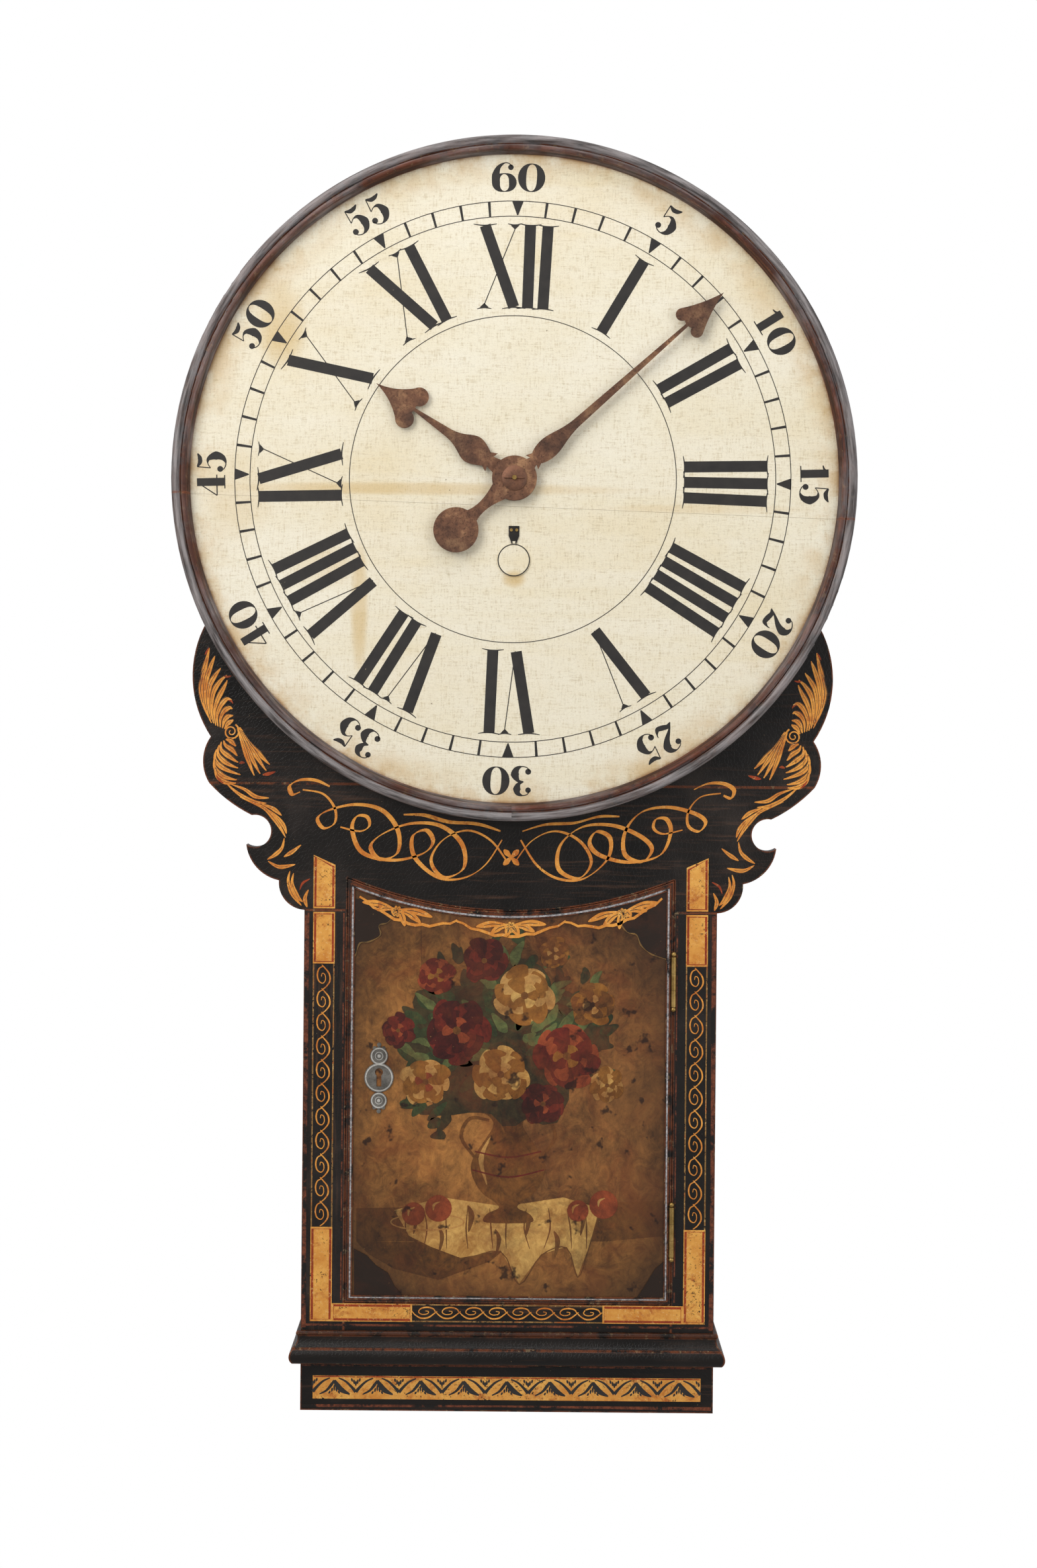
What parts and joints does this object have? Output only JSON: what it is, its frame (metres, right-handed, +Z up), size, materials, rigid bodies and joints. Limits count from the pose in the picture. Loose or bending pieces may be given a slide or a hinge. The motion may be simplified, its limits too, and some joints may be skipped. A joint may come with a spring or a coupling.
{
  "type": "tavern clock",
  "caption": "Wall-hung tavern clock: round painted dial in a moulded frame, shaped apron, trunk with a hinged door, weight-driven pendulum movement",
  "frame": {"origin": "centre of the hanging hole on the back face of the backboard, which lies on the wall", "axes": "+Z up, +X to the right seen from the front, the dial faces -Y, and +Y points into the wall"},
  "size_m": [0.7636, 0.2003, 1.4288],
  "materials": {
    "black_japan": "black japanned wood, worn and crazed, with gilt ornament",
    "bare_wood": "bare old softwood, darkened",
    "dial_paint": "cream oil paint on wood, craquelure, satin",
    "cover_paint": "cream paint on thin iron, satin",
    "black_iron": "blackened wrought iron",
    "browned_iron": "browned iron with a fine rust",
    "brass": "aged brass",
    "steel": "filed steel, dulled",
    "iron": "cast iron, dull",
    "silvered": "worn silvered brass",
    "gut": "twisted gut, waxy"
  },
  "bodies": {
    "case": {"backboard": "bare_wood", "trunk_side_left": "black_japan", "trunk_side_right": "black_japan", "top_board": "bare_wood", "bottom_board": "bare_wood", "seat_board": "bare_wood", "inner_blocks": "bare_wood", "stile_left": "black_japan", "stile_right": "black_japan", "bottom_rail": "black_japan", "plinth_front": "black_japan", "base_moulding": "black_japan", "apron_upper": "black_japan", "apron_lower": "black_japan", "hanging_plate": "black_iron", "case_screws": "steel", "dial_planks": "dial_paint", "dial_battens": "bare_wood", "bezel_upper": "black_japan", "bezel_lower": "black_japan", "cover_strap": "black_iron", "front_plate": "brass", "back_plate": "brass", "pillars": "brass", "pillar_pins": "steel", "hour_bridge": "brass", "back_cock": "brass", "movement_screws": "steel", "gut_line": "gut", "hinge_case_leaves": "brass"},
    "cover": {"winding_cover": "cover_paint"},
    "minute_hand_set": {"minute_hand": "browned_iron", "cannon_wheel": "brass", "hand_washer": "brass"},
    "hour_hand_set": {"hour_hand": "browned_iron", "hour_wheel": "brass"},
    "minute_wheel_set": {"minute_wheel": "brass"},
    "barrel_set": {"barrel": "brass", "barrel_arbor": "steel", "barrel_line": "gut"},
    "great_wheel_set": {"great_wheel": "brass", "click": "steel"},
    "second_wheel_set": {"second_wheel": "brass"},
    "centre_wheel_set": {"centre_wheel": "brass", "taper_pin": "steel"},
    "third_wheel_set": {"third_wheel": "brass"},
    "escape_wheel_set": {"escape_wheel": "brass"},
    "anchor_set": {"anchor": "steel"},
    "pendulum": {"suspension_spring": "steel", "pendulum_rod": "steel", "bob": "brass", "rating_nut": "brass"},
    "weight_set": {"weight": "iron", "pulley_stirrup": "steel"},
    "pulley_set": {"pulley": "brass"},
    "door": {"door_board": "black_japan", "hinge_door_leaves": "brass", "escutcheon": "silvered", "lock_case": "iron"},
    "bolt": {"lock_bolt": "steel"}
  },
  "joints": [
    {"name": "cover_swing", "type": "hinge", "parent": "case", "child": "cover", "pos_m": [0, -0.1845, -0.3093], "axis": [-1, 0, 0], "range_deg": [0, 120]},
    {"name": "minute_hand_turn", "type": "hinge", "parent": "case", "child": "minute_hand_set", "pos_m": [0, -0.19, -0.238], "axis": [0, 1, 0], "continuous": true},
    {"name": "hour_hand_turn", "type": "hinge", "parent": "case", "child": "hour_hand_set", "pos_m": [0, -0.185, -0.238], "axis": [0, 1, 0], "continuous": true},
    {"name": "minute_wheel_turn", "type": "hinge", "parent": "case", "child": "minute_wheel_set", "pos_m": [0.036, -0.15, -0.238], "axis": [0, 1, 0], "continuous": true},
    {"name": "pendulum_swing", "type": "hinge", "parent": "case", "child": "pendulum", "pos_m": [0, -0.05, -0.15372], "axis": [0, 1, 0], "range_deg": [-3, 3]},
    {"name": "anchor_rock", "type": "hinge", "parent": "case", "child": "anchor_set", "pos_m": [0, -0.09, -0.15372], "axis": [0, 1, 0], "range_deg": [-3, 3]},
    {"name": "escape_turn", "type": "hinge", "parent": "case", "child": "escape_wheel_set", "pos_m": [0, -0.09, -0.182], "axis": [0, 1, 0], "continuous": true},
    {"name": "third_turn", "type": "hinge", "parent": "case", "child": "third_wheel_set", "pos_m": [0.01364, -0.1, -0.20686], "axis": [0, 1, 0], "continuous": true},
    {"name": "centre_turn", "type": "hinge", "parent": "case", "child": "centre_wheel_set", "pos_m": [0, -0.112, -0.238], "axis": [0, 1, 0], "continuous": true},
    {"name": "second_turn", "type": "hinge", "parent": "case", "child": "second_wheel_set", "pos_m": [-0.01532, -0.122, -0.27223], "axis": [0, 1, 0], "continuous": true},
    {"name": "great_turn", "type": "hinge", "parent": "case", "child": "great_wheel_set", "pos_m": [0, -0.135, -0.329], "axis": [0, 1, 0], "continuous": true},
    {"name": "weight_travel", "type": "slide", "parent": "case", "child": "weight_set", "axis": [0, 0, 1], "range_m": [0, 0.5], "deforming": ["gut_line"]},
    {"name": "pulley_spin", "type": "hinge", "parent": "weight_set", "child": "pulley_set", "pos_m": [0.04225, -0.10405, -0.963], "axis": [0, 1, 0], "continuous": true},
    {"name": "barrel_turn", "type": "hinge", "parent": "case", "child": "barrel_set", "pos_m": [0, -0.112, -0.329], "axis": [0, 1, 0], "continuous": true},
    {"name": "door_swing", "type": "hinge", "parent": "case", "child": "door", "pos_m": [0.1836, -0.1682, -0.9405], "axis": [0, 0, 1], "range_deg": [0, 170]},
    {"name": "lock_bolt_slide", "type": "slide", "parent": "door", "child": "bolt", "axis": [-1, 0, 0], "range_m": [0, 0.008]}
  ],
  "couplings": [
    {"joint": "hour_hand_turn", "follows": "minute_hand_turn", "ratio": 0.083333},
    {"joint": "minute_wheel_turn", "follows": "minute_hand_turn", "ratio": -1},
    {"joint": "anchor_rock", "follows": "pendulum_swing", "ratio": 1},
    {"joint": "escape_turn", "follows": "pendulum_swing", "ratio": 1},
    {"joint": "third_turn", "follows": "pendulum_swing", "ratio": -0.125},
    {"joint": "centre_turn", "follows": "pendulum_swing", "ratio": 0.016667},
    {"joint": "second_turn", "follows": "pendulum_swing", "ratio": -0.0041667},
    {"joint": "great_turn", "follows": "pendulum_swing", "ratio": 0.00069444},
    {"joint": "barrel_turn", "follows": "weight_travel", "rad_per_m": -86.022},
    {"joint": "pulley_spin", "follows": "weight_travel", "rad_per_m": 52.632}
  ]
}
